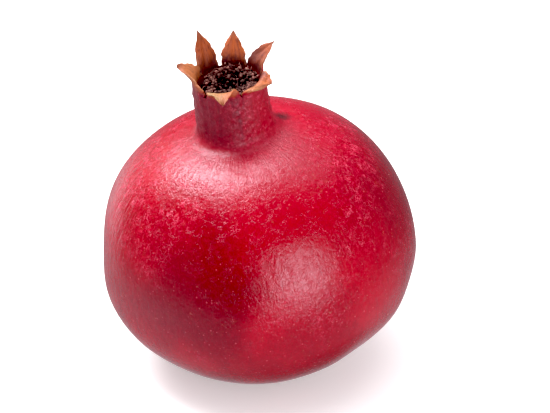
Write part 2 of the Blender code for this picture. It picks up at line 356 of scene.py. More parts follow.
def bodyOutline():
    # half an ellipse with the stalk's hollow sunk in it, a superellipse over the shoulder, a Bezier
    # fillet and the neck's side; then rows at even steps along it, closer together on the neck
    t = np.linspace(0, 1, fruit["outlineSteps"])
    radius = fruit["radius"] * np.sin(t * math.pi / 2)
    height = -fruit["baseDepth"] * np.cos(t * math.pi / 2)
    outwards = (radius - fruit["hollowFloor"]) / (fruit["hollowRadius"] - fruit["hollowFloor"])
    base = np.stack([radius, height + fruit["hollowDepth"] * (1 - smooth(outwards))], 1)
    start = neck["baseRadius"] + neck["fillet"]
    power = 2 / fruit["fullness"]
    last = math.acos((start / fruit["radius"]) ** (1 / power))
    shoulder = np.stack([fruit["radius"] * np.cos(t * last) ** power,
                         fruit["shoulder"] * np.sin(t * last) ** power], 1)
    fillet = bezier((start, shoulderHeight(start)),
                    (neck["baseRadius"] + neck["fillet"] / 2, neckCorner),
                    (neck["baseRadius"], neckCorner + neck["fillet"] / 4),
                    (neck["baseRadius"], neckCorner + neck["fillet"]), t)
    side = np.array([(neck["rimRadius"], neck["rimHeight"])])
    line = np.concatenate([base, shoulder[1:], fillet[1:], side])
    length = np.concatenate([[0], np.cumsum(np.hypot(*np.diff(line, axis=0).T))])
    filletStart = length[len(base) + len(shoulder) - 2]
    wanted = np.concatenate([np.linspace(0, filletStart, fruit["bodyRows"])[:-1],
                             np.linspace(filletStart, length[-1], neck["rows"])])
    return np.interp(wanted, length, line[:, 0]), np.interp(wanted, length, line[:, 1])


def bodySwell(azimuth, height):
    # what is added to the radius: broad ridges with flatter skin between, a heavier side and low lumps,
    # all dying away towards the stalk end and the neck
    depth = height / np.where(height > 0, fruit["shoulder"], fruit["baseDepth"])
    fade = np.clip(1 - depth * depth, 0, 1)
    width = math.radians(fruit["ridgeWidth"])
    ridges = sum(bump(away(azimuth, math.radians(r)), width) for r in fruit["ridges"])
    even = len(fruit["ridges"]) * width * math.sqrt(math.pi) / turn
    heavy = fruit["radius"] * fruit["heavySide"] * np.cos(azimuth - math.radians(fruit["heavyAzimuth"]))
    lumps = fruit["lumps"] * ripple(azimuth, height / fruit["lumpHeight"], seed=4, count=9, fastest=4)
    swell = fade * (heavy + fruit["ridgeHeight"] * (ridges - even) + lumps)
    for middle, level, outwards, wide, reach in fruit["swellings"]:
        nearby = bump(away(azimuth, math.radians(middle)), math.radians(wide))
        swell = swell + outwards * nearby * bump(height - level, reach)
    return swell


def neckShift(azimuth, height):
    # outwards shift of the neck: a crease below each notch, uneven pleats, and puckers in the skin
    # where the neck rises from the shoulder
    rise = smooth((height - neckCorner) / neck["fillet"])
    width = math.radians(neck["creaseWidth"])
    creases = sum(bump(away(azimuth, n), width) for n in notches())
    pleats = ripple(azimuth, height / neck["pleatHeight"], seed=21, count=10, fastest=24)
    puckers = ripple(azimuth, height / neck["puckerHeight"], seed=8, count=6, fastest=7)
    puckers = puckers * bump(height - neckCorner - 1, neck["puckerReach"])
    return -neck["creaseDepth"] * creases * rise + neck["pleats"] * pleats * rise + neck["pucker"] * puckers


def notchDrop(azimuth, height):
    # how far the rim sinks at each notch, dying away below it
    reach = smooth(1 - (neck["rimHeight"] - height) / neck["notchReach"])
    width = math.radians(neck["notchWidth"])
    return neck["notchDrop"] * reach * sum(bump(away(azimuth, n), width) for n in notches())


def bend(points, weight):
    # shifts clean points of the neck and crown outwards and down, and the whole neck sideways; weight
    # is 1 on the outside, 0 inside
    azimuth = np.arctan2(points[..., 1], points[..., 0])
    radius = np.hypot(points[..., 0], points[..., 1])
    height = points[..., 2]
    level = np.minimum(height, neck["rimHeight"])
    onNeck = height > neckCorner - neck["belowCorner"]
    fade = np.where(height > neck["rimHeight"], smooth(1 - (height - neck["rimHeight"]) / neck["settle"]), 1)
    moved = radius + np.where(onNeck, neckShift(azimuth, level) * weight, 0) * fade
    drop = np.where(onNeck, notchDrop(azimuth, level), 0) * fade
    over = neck["sideways"] * smooth((height - neckCorner - neck["sidewaysFrom"]) / neck["sidewaysReach"])
    return np.stack([moved * np.cos(azimuth) + over, moved * np.sin(azimuth), height - drop], -1)


def turned(radius, height, azimuth):
    # rings round the axis: radius times the cosine and sine of the azimuth, at each height; radius
    # and height are columns, or radius changes with the azimuth too
    return np.stack([radius * np.cos(azimuth), radius * np.sin(azimuth), height + 0 * azimuth], -1)


def outsideGrid(azimuth):
    # the outline swept round with its swellings, closed to a point at the bottom
    radius, height = (column[:, None] for column in bodyOutline())
    points = turned(radius + bodySwell(azimuth, height), height, azimuth)
    points[0] = (0, 0, height[0, 0])
    return bend(points, 1.0)


def cupGrid(azimuth):
    # the inside of the neck: a Bezier curve from the rim down to the floor, then level to the middle
    rim = neck["rimRadius"] - neck["wall"]
    floor = neck["rimHeight"] - neck["cupDepth"]
    halfWay, low = neck["cupTaper"]
    wall = bezier((rim, neck["rimHeight"]), (rim - halfWay, neck["rimHeight"] - neck["cupDepth"] / 2),
                  (rim - low, floor), (neck["cupFloor"], floor), np.linspace(0, 1, neck["cupRows"]))
    line = np.concatenate([wall, [(neck["cupFloor"] / 2, floor), (0, floor)]])
    return bend(turned(line[:, :1], line[:, 1:], azimuth), 0.0)


def lobeGrid(lobe, number):
    # Rings round a lobe from the rim to the tip. Its middle line leans from foot to tip; across it the
    # section is an arc of the rim's own circle that narrows to nothing; the two faces lie half the
    # thickness to each side, and short strips close the edges. w runs 0 to 1 from rim to tip, across
    # runs -1 to 1 from edge to edge, and sines of both make the edges ragged and the faces wavy.
    half = math.radians(lobe["span"]) / 2
    middle = math.radians(lobe["start"]) + half
    along = 1 - (1 - np.linspace(0, 1, crown["rows"])) ** crown["tipCrowding"]
    fine = np.linspace(0, 1, crown["leanSteps"])
    lean = np.radians(lobe["foot"]) * smooth(3 * fine)
    lean = lean + np.radians(lobe["tip"] - lobe["foot"]) * fine ** lobe["late"]
    step = lobe["length"] / (len(fine) - 1)
    centre = neck["rimRadius"] - neck["wall"] / 2
    out = np.interp(along, fine, centre + np.cumsum(np.sin(lean)) * step - np.sin(lean[0]) * step)
    up = np.interp(along, fine, neck["rimHeight"] + np.cumsum(np.cos(lean)) * step - np.cos(lean[0]) * step)
    lean = np.interp(along, fine, lean)[:, None]
    count = lobe["span"]
    face = np.linspace(-1, 1, count + 1)
    side = np.array([0.5, 0, -0.5])
    across = np.concatenate([face, [1, 1, 1], face[::-1], [-1, -1, -1]])[None]
    depth = np.concatenate([np.ones(count + 1), side, -np.ones(count + 1), -side])[None]
    w = along[:, None]
    width = (1 - w ** lobe["full"]) * (1 + lobe["belly"] * np.sin(math.pi * w))
    ragged = 1 + crown["ragged"] * np.sin(19 * w + number) * smooth(4 * w)
    ragged = ragged + crown["raggedFine"] * np.sin(41 * w + 2 * number) * smooth(4 * w)
    arc = half * across * width * ragged + half * lobe["drawn"] * w * w
    bow = 1 + (lobe["bow"] - 1) * smooth(2 * w)
    grown = smooth(3 * w)
    waves = np.sin(9 * w + 2.3 * number + 1.5 * across)
    midrib = bump(across + 0.1 * np.sin(3 * w), crown["midribWidth"])
    inwards = bow * centre * (1 - np.cos(arc))
    inwards = inwards - lobe["curl"] * np.abs(across) ** 3 * smooth(2.5 * w)
    inwards = inwards + lobe["wave"] * across ** 2 * waves * grown
    inwards = inwards + crown["midrib"] * midrib * grown * (1 - w)
    inwards = inwards + crown["folds"] * np.sin(7 * across + 5 * w + number) * grown
    thick = neck["wall"] + (crown["tipThickness"] - neck["wall"]) * smooth(1.5 * w)
    thick = thick * (1 - crown["edgeThinning"] * np.abs(across) ** 6 * smooth(8 * w))
    thick = thick * (1 - crown["tipThinning"] * smooth(6 * (w - 0.85)))
    lift = depth * thick / 2
    outward = out[:, None] - inwards * np.cos(lean) + lift * np.cos(arc) * np.cos(lean)
    upward = up[:, None] + inwards * np.sin(lean) - lift * np.cos(arc) * np.sin(lean)
    sideways = (centre + lift) * np.sin(arc)
    points = np.stack([outward * math.cos(middle) - sideways * math.sin(middle),
                       outward * math.sin(middle) + sideways * math.cos(middle), upward], -1)
    place = bend(points, (depth + 1) / 2)
    kind = np.stack([w + 0 * across, across + 0 * w, (1 - depth) / 2 + 0 * w], -1)
    # on the front lobes the paleness leans to the edge the light falls on, which is painted light
    pale = lobe["pale"] * (1 + lobe["paleLitSide"] * across) / (1 + abs(lobe["paleLitSide"])) + 0 * w
    tone = np.stack([pale, number + 0 * pale, np.ones_like(pale)], -1)
    return place, kind, tone


def fruitGrids():
    # the outside, the cup and the lobes, each with what the finish reads, leaned and set down
    azimuth = np.linspace(0, turn, fruit["columns"], endpoint=False)
    outside = outsideGrid(azimuth)
    cup = cupGrid(azimuth)[::-1]
    plain = np.zeros(3)
    # ownPlace is the place about the fruit's axis; lobe is (along, across, inside); crownTone is
    # (paleness, which lobe, on a lobe), the paleness on the front lobes partly painted light. The cup counts
    # as inside, less so in the rows by its rim, and so takes the cup's painted shade.
    fromRim = smooth(np.arange(len(cup))[::-1, None, None] / 3)
    inside = (neck["rimShade"] + (1 - neck["rimShade"]) * fromRim) * (0, 0, 1)
    grids = [(outside, {"ownPlace": outside, "lobe": plain, "crownTone": plain}),
             (cup, {"ownPlace": cup, "lobe": inside, "crownTone": plain})]
    for number, lobe in enumerate(crown["lobes"]):
        place, kind, tone = lobeGrid(lobe, number)
        grids.append((place, {"ownPlace": place, "lobe": kind, "crownTone": tone}))
    settled = []
    for place, attributes in grids:
        lying = setDown(place)
        lying[..., 2] = np.maximum(lying[..., 2], 0)  # the pressed flat
        settled.append((lying, True, attributes))
    return settled


# the rind's finish

rind = {
    "deep": (0.270, 0.0006, 0.0055),
    "bright": (0.410, 0.0012, 0.0105),
    "shade": (0.17, 0.0008, 0.0060),
    # the pink of the specks, also painted sheen on the upper right shoulder
    "pinkAndSheen": (0.61, 0.025, 0.068),
    "dot": (0.78, 0.12, 0.16),
    "thread": (0.70, 0.075, 0.135),
    # a deeper red, partly painted shade, for the patch low in front
    "deepAndShaded": (0.178, 0.0005, 0.0042),
    "scar": (0.055, 0.010, 0.009),
    # patches: the middle about the fruit's axis, how far from it they are full, how far they reach and
    # how uneven their edge is, all in mm, and how strongly they show
    # the deep patch low in front is partly a deeper red and partly painted shade
    "deepShadedPatch": ((-17, -39, 15), 9, 27, 24, 0.8),
    # painted shade: the right side, turned away from the light, is darker
    "shadedSidePatch": ((42, -2, 19), 8, 42, 20, 0.8),
    # painted shade in front, which also dims the marks there
    "calmShadePatch": ((14, -33, 30), 6, 24, 20, 0.55),
    "scarPatch": ((13.2, 5.0, 44.5), 0.4, 3.6, 5.5, 0.85),
    # how strongly things show, 0 to 1; a pair is everywhere, and added where they gather
    "streakShare": 0.35,
    # how strongly the painted sheen on the upper right shoulder shows
    "shoulderSheenShare": 0.22,
    "speckShare": (0.07, 0.42),
    "speckGapShare": 0.65,
    "threadShare": (0.07, 0.62),
    "neckShare": (0.30, 0.55),
    # painted shade on the neck's left and painted light on its right
    "neckLeftShadeShare": 0.5,
    "neckRightLightShare": 0.75,
    "neckMarkShare": (0.10, 0.50),  # on the left and on the right
    "dotShare": 0.36,
    "dotScale": 0.75,
    # relief in mm
    "grain": 0.13,
    "dimples": 0.13,
    "wrinkles": (0.08, 0.12, 0.16),  # everywhere, added where the marks gather, added at the sides
    "threadDepth": 0.035,
    "fibres": 0.22,
    "blotches": 0.25,
    "roughness": 0.22,
    "neckRoughness": 0.22,  # added on the neck
    "dryRoughness": 0.34,  # added on the dry lobes
    "compassRadius": 47,
    "compassHeight": 0.22,
}

# the noise behind each pattern: its scale per mm, detail, roughness and, where it has one, distortion
skinNoise = {
    "broad": (0.035, 3, 0.5),
    "fine": (1.7, 4, 0.65),
    "streaks": (0.8, 4, 0.6, 0.3),
    "patches": (0.06, 2, 0.5),
    "clumps": (0.24, 3, 0.6, 0.8),
    "curls": (0.55, 2.5, 0.55, 1.3),
    "breaks": (0.35, 2, 0.5),
    "specks": (0.9, 3, 0.7, 1.2),
    "neckStreaks": (0.16, 3, 0.6, 0.3),
    "neckMarks": (1.0, 3, 0.65, 0.8),
    "grain": (0.9, 4, 0.6, 0.8),
    "dimples": (0.33, 2, 0.5),
    "wrinkles": (0.7, 3, 0.6, 0.6),
    "blotches": (0.55, 4, 0.65, 0.3),
    "fibres": (1.3, 4, 0.6, 0.3),
}

dryLobe = {
    "inside": (0.44, 0.098, 0.019),
    "foot": (0.085, 0.012, 0.008),
    "edge": (0.50, 0.21, 0.09),
    "pale": (0.37, 0.215, 0.095),
    "outside": (0.36, 0.080, 0.025),
    # nearly black: painted shade down in the cup
    "cup": (0.020, 0.006, 0.005),
    "tip": (0.36, 0.115, 0.050),
}


# In the functions below x goes to the right, y to the back and z up from the widest level, in mm about
# the fruit's own axis. A noise runs from 0 to 1 about its middle, 0.5.


def patch(f, name, place, wobble):
    # full near the patch's middle, 0 beyond its reach: the distance from the middle, made uneven
    middle, full, reach, uneven, share = rind[name]
    return f.between(f.distance(place, middle) + (wobble - 0.5) * uneven, full, reach, share, 0.0)


def redSkin(f, place, compass, fine, broad, deepAndShaded):
    # the red all over: broad patches, a deeper patch low in front that is partly a deeper red and partly
    # painted shade, painted shade on the right side, streaks up and down
    colour = f.mix(rind["deep"], rind["bright"], f.between(broad + (fine - 0.5) * 0.5, 0.3, 0.7))
    # a deeper red low in front, partly painted shade
    colour = f.mix(colour, rind["deepAndShaded"], deepAndShaded)
    # painted shade on the right side, turned away from the light
    colour = f.mix(colour, rind["shade"], patch(f, "shadedSidePatch", place, broad))
    streaks = f.between(f.noise(compass, *skinNoise["streaks"]), 0.50, 0.75)
    return f.mix(colour, rind["shade"], streaks * rind["streakShare"])


def gathering(f, place, deepAndShaded):
    # where the pale marks gather: in clumps, more of them higher up and at the sides, none on the
    # deep patch low in front, which is partly painted shade
    x, _, z = f.parts(place)
    patches = f.between(f.noise(place, *skinNoise["patches"]) + z * 0.008, 0.55, 0.86) * (1 - deepAndShaded)
    clumps = f.between(f.noise(place, *skinNoise["clumps"]), 0.40, 0.56, 0.25, 1.0)
    return patches * clumps * f.between(abs(x - 8), 6, 28, 0.5, 1.15)


def curlingThreads(f, place):
    # lines where a twisted noise crosses its middle value, broken up by another
    curls = f.noise(f.scaled(place, (1, 1, 0.7)), *skinNoise["curls"])
    threads = f.between(abs(curls - 0.5), 0.006, 0.040, 1.0, 0.0)
    return threads * f.between(f.noise(place, *skinNoise["breaks"]), 0.44, 0.58)


def skinMarks(f, colour, place, fine, broad, gathered, threads):
    # a pale pink band on the upper right shoulder that is painted sheen, then specks and threads, and a
    # patch of painted shade in front that darkens the skin and dims them
    x, _, z = f.parts(place)
    specks = f.between(f.noise(place, *skinNoise["specks"]), 0.48, 0.62)
    # painted sheen: a pale pink band high on the right shoulder, where the overhead light falls
    shoulder = f.between(z + (fine - 0.5) * 9, 26, 40) * f.between(z, 52, 44)
    colour = f.mix(colour, rind["pinkAndSheen"], shoulder * f.between(x, -20, 12) * rind["shoulderSheenShare"])
    colour = f.mix(colour, rind["deep"], gathered * f.between(specks, 0.5, 0.0) * rind["speckGapShare"])
    everywhere, added = rind["speckShare"]
    colour = f.mix(colour, rind["pinkAndSheen"], specks * (everywhere + gathered * added))
    everywhere, added = rind["threadShare"]
    onBody = f.between(z, 42, 47, 1.0, 0.3)
    colour = f.mix(colour, rind["thread"], threads * (everywhere + gathered * added) * onBody)
    # painted shade in front, which also dims the marks
    return f.mix(colour, rind["deep"], patch(f, "calmShadePatch", place, broad))


def neckMarks(f, colour, place, compass, fine):
    # the neck is darker in streaks; painted shade darkens its left and painted light brightens its right,
    # which is also more marked; a dry scar lies at its foot
    x, _, z = f.parts(place)
    streaks = f.between(f.noise(compass, *skinNoise["neckStreaks"]), 0.42, 0.66)
    everywhere, added = rind["neckShare"]
    nearNeck = f.between(z + (fine - 0.5) * 4, 43, 50)
    colour = f.mix(colour, rind["shade"], nearNeck * (everywhere + streaks * added))
    # painted shade on the left of the neck, painted light on its right
    shadedLeft = f.between(z, 44, 50) * f.between(x, 5, -7)
    colour = f.mix(colour, rind["shade"], shadedLeft * rind["neckLeftShadeShare"])
    litRight = f.between(z, 42, 49) * f.between(x, 1, 10)
    colour = f.mix(colour, rind["bright"], litRight * rind["neckRightLightShare"])
    marks = f.between(f.noise(place, *skinNoise["neckMarks"]), 0.54, 0.64)
    marks = f.between(z, 40, 49) * f.between(x, -5, 6, *rind["neckMarkShare"]) * marks
    colour = f.mix(colour, rind["thread"], marks)
    return f.mix(colour, rind["scar"], patch(f, "scarPatch", place, fine))


def breathingDots(f, colour, place):
    # small pale dots in the middles of some cells
    chance = f.parts(f.cells(place, rind["dotScale"], "Color"))[0]
    dots = f.between(f.cells(place, rind["dotScale"]) + chance * 0.24, 0.14, 0.26, 1.0, 0.0)
    return f.mix(colour, rind["dot"], dots * rind["dotShare"])


def dryCrown(f, fibres, blotches):
    # the dry lobes' colour, redder and darker at the foot, paler at the edges and tip and where a lobe
    # bleaches, with painted light on the front lobes' lit edge, nearly black down in the cup as painted
    # shade; and how dry each place is
    along, across, inside = f.parts(f.attribute("lobe"))
    tone, _, onLobe = f.parts(f.attribute("crownTone"))
    bleachedAndLit = f.math("MAXIMUM", tone, 0.0)
    darkened = f.math("MAXIMUM", 0 - tone, 0.0)
    grown = f.between(along + (blotches - 0.5) * 0.7 + bleachedAndLit * 0.6, 0.02, 0.42)
    dry = f.mix(dryLobe["foot"], dryLobe["inside"], grown)
    dry = f.mix(dry, dryLobe["foot"], f.between(fibres + blotches * 0.6, 0.78, 1.02) * 0.75)
    edge = f.between(abs(across), 0.84, 1.0) * f.between(blotches, 0.40, 0.60)
    dry = f.mix(dry, dryLobe["edge"], edge * 0.8)
    # paler on bleaching lobes, and on the lit edge of the front lobes as painted light
    dry = f.mix(dry, dryLobe["pale"], bleachedAndLit * f.between(along + fibres * 0.3, 0.10, 0.45))
    dry = f.mix(dry, dryLobe["foot"], darkened * f.between(along, 0.95, 0.45))
    dry = f.mix(dry, dryLobe["tip"], f.between(along + blotches * 0.2, 0.80, 1.02) * 0.75)
    outside = f.mix(dryLobe["outside"], dry, f.between(along, 0.15, 0.7))
    dry = f.mix(outside, dry, inside)
    # painted shade: down in the cup, away from the lobes, nearly black
    dry = f.mix(dry, dryLobe["cup"], inside * (1 - onLobe))
    dryness = f.math("MAXIMUM", inside, f.between(along + (blotches - 0.5) * 0.5, 0.02, 0.35))
    return dry, dryness


def lobeFibres(f):
    # fibres that run up each lobe, different on each
    along, across = f.parts(f.attribute("lobe"))[:2]
    number = f.parts(f.attribute("crownTone"))[1]
    fibrePlace = f.node("ShaderNodeCombineXYZ", None, {0: across * 6, 1: along * 1.3, 2: number * 10})
    return f.noise(fibrePlace, *skinNoise["fibres"])


def rindFinish():
    f = Finish(bpy.data.materials.new("rindSkin"))
    place = f.attribute("ownPlace")
    x, y, z = f.parts(place)
    # a pattern on compass runs up and down: every place is put on one circle, its height pressed low
    outwards = (x * x + y * y) ** 0.5 + 0.01
    compass = f.node("ShaderNodeCombineXYZ", None, {
        0: x / outwards * rind["compassRadius"], 1: y / outwards * rind["compassRadius"],
        2: z * rind["compassHeight"]})
    broad = f.noise(place, *skinNoise["broad"])
    fine = f.noise(place, *skinNoise["fine"])
    deepAndShaded = patch(f, "deepShadedPatch", place, broad)
    gathered = gathering(f, place, deepAndShaded)
    threads = curlingThreads(f, place)
    colour = redSkin(f, place, compass, fine, broad, deepAndShaded)
    colour = skinMarks(f, colour, place, fine, broad, gathered, threads)
    colour = neckMarks(f, colour, place, compass, fine)
    colour = breathingDots(f, colour, place)
    fibres = lobeFibres(f)
    blotches = f.noise(place, *skinNoise["blotches"])
    dry, dryness = dryCrown(f, fibres, blotches)
    colour = f.mix(colour, dry, dryness)

    grain = f.noise(place, *skinNoise["grain"])
    onNeck = f.between(z, 40, 47) * (1 - dryness)
    roughness = rind["roughness"] + (grain - 0.5) * 0.10 + onNeck * rind["neckRoughness"]
    roughness = roughness + dryness * rind["dryRoughness"]
    everywhere, added, sides = rind["wrinkles"]
    wrinkled = everywhere + gathered * added + f.between(abs(x - 3), 24, 40) * sides
    height = grain * rind["grain"] + f.noise(place, *skinNoise["dimples"]) * rind["dimples"]
    wrinkles = f.noise(compass, *skinNoise["wrinkles"]) * wrinkled
    height = height + wrinkles - threads * rind["threadDepth"]
    dryHeight = fibres * rind["fibres"] + blotches * rind["blotches"]
    height = height * (1 - dryness) + dryHeight * dryness
    gloss = {"Specular IOR Level": 0.7, "Specular Tint": (1.0, 0.87, 1.0, 1.0)}
    return f.done(colour, roughness, height, gloss)


makePiece("fruitSkin", fruitGrids(), rindFinish(), ["fruit"])


# stamens: a tangle of thin filaments, each with its anther

stamens = {
    "count": 400,
    "sides": 5,
    "thickness": 0.125,  # the filament's radius
    "taper": (1, 1, 1, 1, 1, 1, 1, 0.9, 0.8, 0.05),  # shares of that radius, ring by ring
    "endInset": 1.2,  # how far inside the cup's wall the outermost ones end
    "rootInset": 1.0,
    "wallGap": 0.5,
    "lean": 1.2,  # how far in each one leans from its root
    "rootDepth": (4, 5.5),  # under the rim at the wall, and added in the middle
    "endDepth": 0.3,
    "uneven": 0.9,
    "dip": 4.2,  # how much lower they end in the middle
    "backRise": (0.2, 0.9),  # all round, and added at the back
    "arch": 1.15,
    "wander": (0.4, 1.3),
    "bare": 0.42,  # the share that have lost their anther
    "antherLength": 0.52,  # half an anther's length
    "antherWidth": 0.42,
    "cleft": 0.25,
    # near black: the stamens' painted shade down in the cup
    "dark": (0.030, 0.010, 0.007),
    "pale": (0.30, 0.13, 0.10),
    "anther": (0.30, 0.12, 0.10),
}


def tubes(path, radius, sides, reference):
    # rings square to each path: its slope crossed with a reference direction gives the ring's plane
    slope = np.gradient(path, axis=1)
    slope /= np.linalg.norm(slope, axis=2, keepdims=True)
    first = np.cross(slope, reference[:, None])
    first /= np.linalg.norm(first, axis=2, keepdims=True)
    second = np.cross(slope, first)
    angle = np.linspace(0, turn, sides, endpoint=False)
    ring = first[:, :, None] * np.cos(angle)[:, None] + second[:, :, None] * np.sin(angle)[:, None]
    return path[:, :, None] + ring * radius[:, :, None, None], slope[:, -1], first[:, -1], second[:, -1]


def stamenGrids():
    # roots and ends are spread evenly over two discs by the golden angle; each filament's radius and
    # height go from root to end along a power and a sine, and it wanders sideways by a sine and cosine
    rng = np.random.default_rng(7)
    count = stamens["count"]
    share = (np.arange(count) + 0.5) / count
    azimuth = np.arange(count) * math.pi * (3 - math.sqrt(5)) + rng.uniform(-0.2, 0.2, count)
    rim = neck["rimRadius"] - neck["wall"]
    endRadius = (rim - stamens["endInset"]) * np.sqrt(share) * rng.uniform(0.9, 1.03, count)
    endHeight = neck["rimHeight"] - stamens["endDepth"] + stamens["uneven"] * rng.uniform(-1, 1, count)
    endHeight = endHeight - stamens["dip"] * (1 - share) ** 1.5
    allRound, atBack = stamens["backRise"]
    endHeight = endHeight + allRound + atBack * np.sin(azimuth) * share
    rootRadius = np.minimum(endRadius + stamens["lean"], rim - stamens["rootInset"])
    atWall, inMiddle = stamens["rootDepth"]
    rootHeight = neck["rimHeight"] - atWall - inMiddle * (1 - share)
    t = np.linspace(0, 1, len(stamens["taper"]))[None, :]
    radius = rootRadius[:, None] + (endRadius - rootRadius)[:, None] * t ** 1.5
    rise = (endHeight - rootHeight)[:, None] * np.sin(t * math.pi / 2 * stamens["arch"])
    height = rootHeight[:, None] + rise / math.sin(math.pi / 2 * stamens["arch"])
    phase = rng.uniform(0, turn, (count, 1))
    size = rng.uniform(*stamens["wander"], (count, 1))
    radius = radius + size * t * np.sin(6 * t + phase)
    radius = np.minimum(radius, rim - stamens["wallGap"])
    swing = azimuth[:, None] + size * t * np.cos(5 * t + phase) / np.maximum(radius, 1.5)
    path = np.stack([radius * np.cos(swing), radius * np.sin(swing), height], -1)
    reference = np.stack([-np.sin(azimuth), np.cos(azimuth), 0.2 + 0 * azimuth], -1)
    thick = stamens["thickness"] * np.array(stamens["taper"])[None] * rng.uniform(0.8, 1.3, (count, 1))
    rings, slope, first, second = tubes(path, thick, stamens["sides"], reference)
    # anthers: small two-lobed beans at the filament's end, lying at an angle to it
    angle = rng.uniform(0, turn, count)
    sidewards = first * np.cos(angle)[:, None] + second * np.sin(angle)[:, None]
    axis = slope * 0.5 + sidewards
    axis /= np.linalg.norm(axis, axis=1, keepdims=True)
    across = np.cross(axis, slope)
    across /= np.linalg.norm(across, axis=1, keepdims=True)
    third = np.cross(axis, across)
    v = np.linspace(0, math.pi, 7)
    u = np.linspace(0, turn, 8, endpoint=False)
    scale = rng.uniform(0.7, 1.25, (count, 1, 1))
    whole = rng.uniform(0, 1, count) > stamens["bare"]
    cleft = 1 - stamens["cleft"] * np.cos(2 * u)[None, None] ** 2
    girth = scale * stamens["antherWidth"] * np.sin(v)[None, :, None] * cleft
    reach = scale * stamens["antherLength"] * -np.cos(v)[None, :, None] + 0 * u
    bean = (path[:, -1, None, None] + axis[:, None, None] * reach[..., None]
            + across[:, None, None] * (girth * np.cos(u))[..., None]
            + third[:, None, None] * (girth * np.sin(u))[..., None])
    tone = rng.uniform(0, 1, count)
    grids = []  # stamen holds how far along, the tone, and 1 on an anther
    for i in range(count):
        along = np.stack([t[0], 0 * t[0] + tone[i], 0 * t[0]], -1)[:, None]
        grids.append((setDown(rings[i]), True, {"stamen": along, "ownPlace": rings[i]}))
        if whole[i]:
            onAnther = np.array((1.0, tone[i], 1.0))
            grids.append((setDown(bean[i]), True, {"stamen": onAnther, "ownPlace": bean[i]}))
    return grids


def stamenFinish():
    f = Finish(bpy.data.materials.new("driedStamen"))
    place = f.attribute("ownPlace")
    along, tone, anther = f.parts(f.attribute("stamen"))
    patches = f.noise(place, 1.6, 2, 0.5)
    x, y, _ = f.parts(place)
    # darker in the middle and low down, painted shade down in the cup; paler towards the rim and the ends,
    # with lighter anthers there, painted light
    litOuter = f.between(x * x + y * y, 12, 60, 0.25, 1.0)
    colour = f.mix(stamens["dark"], stamens["pale"], litOuter * f.between(along + tone * 0.6, 0.7, 1.4))
    colour = f.mix(colour, stamens["anther"], anther * litOuter * f.between(tone + patches, 0.6, 1.3))
    return f.done(colour, 0.62 + (patches - 0.5) * 0.3, patches * 0.12, {"Specular IOR Level": 0.4})


def closeEnds(grids):
    # a filament's first and last ring shrink to a point, so that no tube is left open
    closed = []
    for points, ring, attributes in grids:
        first = np.broadcast_to(points[0].mean(0), points[0].shape)[None]
        last = np.broadcast_to(points[-1].mean(0), points[-1].shape)[None]
        grown = {k: v if v.ndim == 1 else np.concatenate([v[:1], v, v[-1:]]) for k, v in attributes.items()}
        closed.append((np.concatenate([first, points, last]), ring, grown))
    return closed


stamenNodes = [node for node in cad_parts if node.startswith("stamen_")]
makePiece("stamens", closeEnds(stamenGrids()), stamenFinish(), stamenNodes, 0.0005)


# the style in the middle of the stamens

style = {
    "radius": 0.5,
    "height": 7.8,
    "foot": 0.3,
    # how far up, and the radius there as a share: a broad foot, a waist and a swollen stigma
    "outline": ((0, 1.7), (0.06, 1.2), (0.2, 1.0), (0.78, 0.9), (0.85, 1.3), (0.92, 1.75), (0.97, 1.5),
                (1.0, 0.8)),
    "flutes": 5,
    "fluteDepth": 0.10,
    "bend": 0.35,
    "rows": 46,
    "columns": 24,
    "colour": (0.30, 0.16, 0.06),
    "tip": (0.12, 0.05, 0.025),
}


def styleGrid():
    # a stem turned round the axis, fluted and bent a little, ending in a lobed stigma
    share = np.linspace(0, 1, style["rows"])[:, None]
    known = np.array(style["outline"])
    radius = style["radius"] * np.interp(share, known[:, 0], known[:, 1])
    azimuth = np.linspace(0, turn, style["columns"], endpoint=False)
    height = neck["rimHeight"] - neck["cupDepth"] + style["foot"] + style["height"] * share
    flutes = style["fluteDepth"] * np.cos(style["flutes"] * azimuth) * (1 + smooth(8 * (share - 0.8)))
    points = turned(radius * (1 + flutes), height, azimuth)
    points[..., 0] += style["bend"] * np.sin(share * 2.2)
    return points


def styleFinish():
    f = Finish(bpy.data.materials.new("driedStyle"))
    place = f.attribute("ownPlace")
    z = f.parts(place)[2]
    fibres = f.noise(f.scaled(place, (1, 1, 0.15)), 3.0, 3, 0.6)
    colour = f.mix(style["colour"], style["tip"], f.between(z, 55, 58) * 0.8)
    colour = f.mix(colour, style["tip"], f.between(fibres, 0.45, 0.7) * 0.6)
    return f.done(colour, 0.65 + (fibres - 0.5) * 0.2, fibres * 0.15, {"Specular IOR Level": 0.35})


stem = styleGrid()
stemGrids = closeEnds([(setDown(stem), True, {"ownPlace": stem})])
makePiece("style", stemGrids, styleFinish(), ["style"])


# the stub of stalk in the hollow under the fruit

stalk = {
    "radius": 2.4,
    "length": 1.5,
    "gap": 0.3,
    "cutShare": 0.93,  # of the radius, where the cut face's edge is
    "barkShare": 0.07,  # the rest of it
    "dome": 0.12,
    "roughness": 0.03,
    "columns": 72,
    "bark": (0.20, 0.115, 0.06),
    "core": (0.42, 0.30, 0.17),
}


